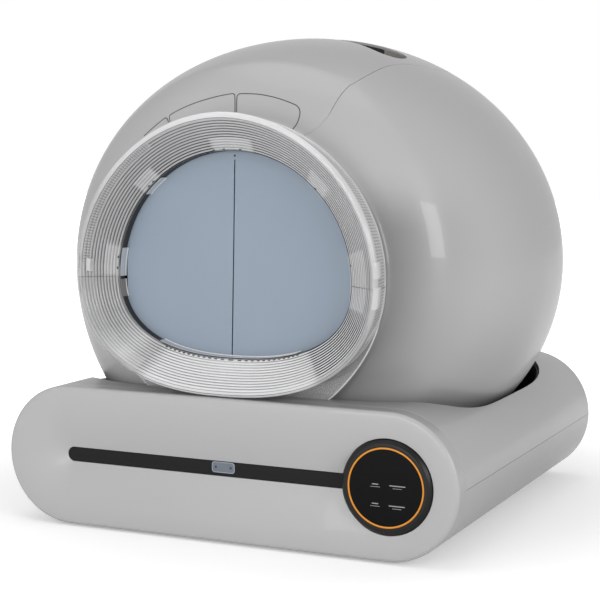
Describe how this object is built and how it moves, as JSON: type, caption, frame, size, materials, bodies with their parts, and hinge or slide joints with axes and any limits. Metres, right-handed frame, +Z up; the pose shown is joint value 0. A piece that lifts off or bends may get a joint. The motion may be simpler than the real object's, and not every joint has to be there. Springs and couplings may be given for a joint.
{
  "type": "self cleaning litter box",
  "caption": "Round enclosed litter box on a low stadium-shaped base, with a clear ribbed entrance ring, slit curtain, turning sieve drum and a front waste drawer with a round touch pod.",
  "frame": {"origin": "on the floor, below the middle of the object's bounding box", "axes": "+Z up, -Y out of the front with the entrance and the drawer, +X to the right as seen from the front"},
  "size_m": [0.633, 0.571, 0.6113],
  "materials": {
    "shell_grey": "light grey, satin",
    "clear": "clear, ribbed",
    "gloss_black": "black, glossy",
    "strip_black": "black, satin",
    "tab_blue": "smoky blue-grey, translucent",
    "orange": "orange, lit ring",
    "curtain_blue": "blue-grey, soft sheet",
    "dark_plastic": "dark grey, satin",
    "drum_grey": "mid grey, satin",
    "bin_grey": "dark grey, satin",
    "rubber_black": "black, matt",
    "nylon_white": "off-white, smooth",
    "steel": "brushed",
    "board_green": "green, matt",
    "recess_beige": "warm grey, satin"
  },
  "bodies": {
    "base": {"base_lower_shell": "shell_grey", "base_upper_shell": "shell_grey", "drum_tray": "dark_plastic", "foot_front_left": "rubber_black", "foot_front_right": "rubber_black", "foot_rear_left": "rubber_black", "foot_rear_right": "rubber_black", "drawer_runner_left": "nylon_white", "drawer_runner_right": "nylon_white", "globe_housing": "shell_grey", "top_lid": "shell_grey", "hand_recess": "recess_beige", "rear_cover": "shell_grey", "front_bulkhead": "shell_grey", "entrance_ring_upper": "clear", "entrance_ring_lower": "clear", "ring_clip_left": "clear", "ring_clip_right": "clear", "curtain_gasket": "rubber_black", "curtain_margin": "curtain_blue", "control_pod_body": "gloss_black", "touch_glass": "gloss_black", "light_ring": "orange", "control_board": "board_green", "power_inlet": "dark_plastic", "gear_motor": "steel", "motor_bracket": "steel", "drum_spindle": "steel", "roller_pin_left": "steel", "roller_pin_right": "steel"},
    "drum": {"drum_front_shell": "drum_grey", "drum_rear_shell": "drum_grey", "drum_ring_gear": "nylon_white", "litter_sieve": "drum_grey", "hub_bush": "nylon_white", "drum_port_trim": "rubber_black"},
    "pinion": {"drive_pinion": "nylon_white", "pinion_shaft": "steel"},
    "roller_left": {"drum_roller_left": "rubber_black"},
    "roller_right": {"drum_roller_right": "rubber_black"},
    "drawer": {"drawer_front": "shell_grey", "drawer_strip": "strip_black", "waste_bin": "bin_grey", "bag_ring": "bin_grey"},
    "pull_tab": {"drawer_pull_tab": "tab_blue"},
    "left_flap": {"curtain_left": "curtain_blue"},
    "right_flap": {"curtain_right": "curtain_blue"}
  },
  "joints": [
    {"name": "drum_spin", "type": "hinge", "parent": "base", "child": "drum", "pos_m": [0, 0, 0.3452], "axis": [0, -1, 0], "range_deg": [-20, 195]},
    {"name": "pinion_spin", "type": "hinge", "parent": "base", "child": "pinion", "pos_m": [0.13422, 0.169, 0.15352], "axis": [0, -1, 0], "range_deg": [-1560, 160]},
    {"name": "roller_left_spin", "type": "hinge", "parent": "base", "child": "roller_left", "pos_m": [-0.10648, -0.117, 0.14495], "axis": [0, -1, 0], "range_deg": [-3486, 358]},
    {"name": "roller_right_spin", "type": "hinge", "parent": "base", "child": "roller_right", "pos_m": [0.10648, -0.117, 0.14495], "axis": [0, -1, 0], "range_deg": [-3486, 358]},
    {"name": "drawer_slide", "type": "slide", "parent": "base", "child": "drawer", "axis": [0, -1, 0], "range_m": [0, 0.3]},
    {"name": "pull_tab_lift", "type": "hinge", "parent": "drawer", "child": "pull_tab", "pos_m": [0, -0.27181, 0.09835], "axis": [-1, 0, 0], "range_deg": [0, 60]},
    {"name": "left_flap_swing", "type": "hinge", "parent": "base", "child": "left_flap", "pos_m": [-0.118, -0.23545, 0.3152], "axis": [0, 0, 1], "range_deg": [-20, 75], "stiffness_Nm_per_rad": 0.02},
    {"name": "right_flap_swing", "type": "hinge", "parent": "base", "child": "right_flap", "pos_m": [0.118, -0.23545, 0.3152], "axis": [0, 0, -1], "range_deg": [-20, 75], "stiffness_Nm_per_rad": 0.02}
  ],
  "couplings": [
    {"joint": "pinion_spin", "follows": "drum_spin", "ratio": -8},
    {"joint": "roller_left_spin", "follows": "drum_spin", "ratio": -17.875},
    {"joint": "roller_right_spin", "follows": "drum_spin", "ratio": -17.875}
  ]
}
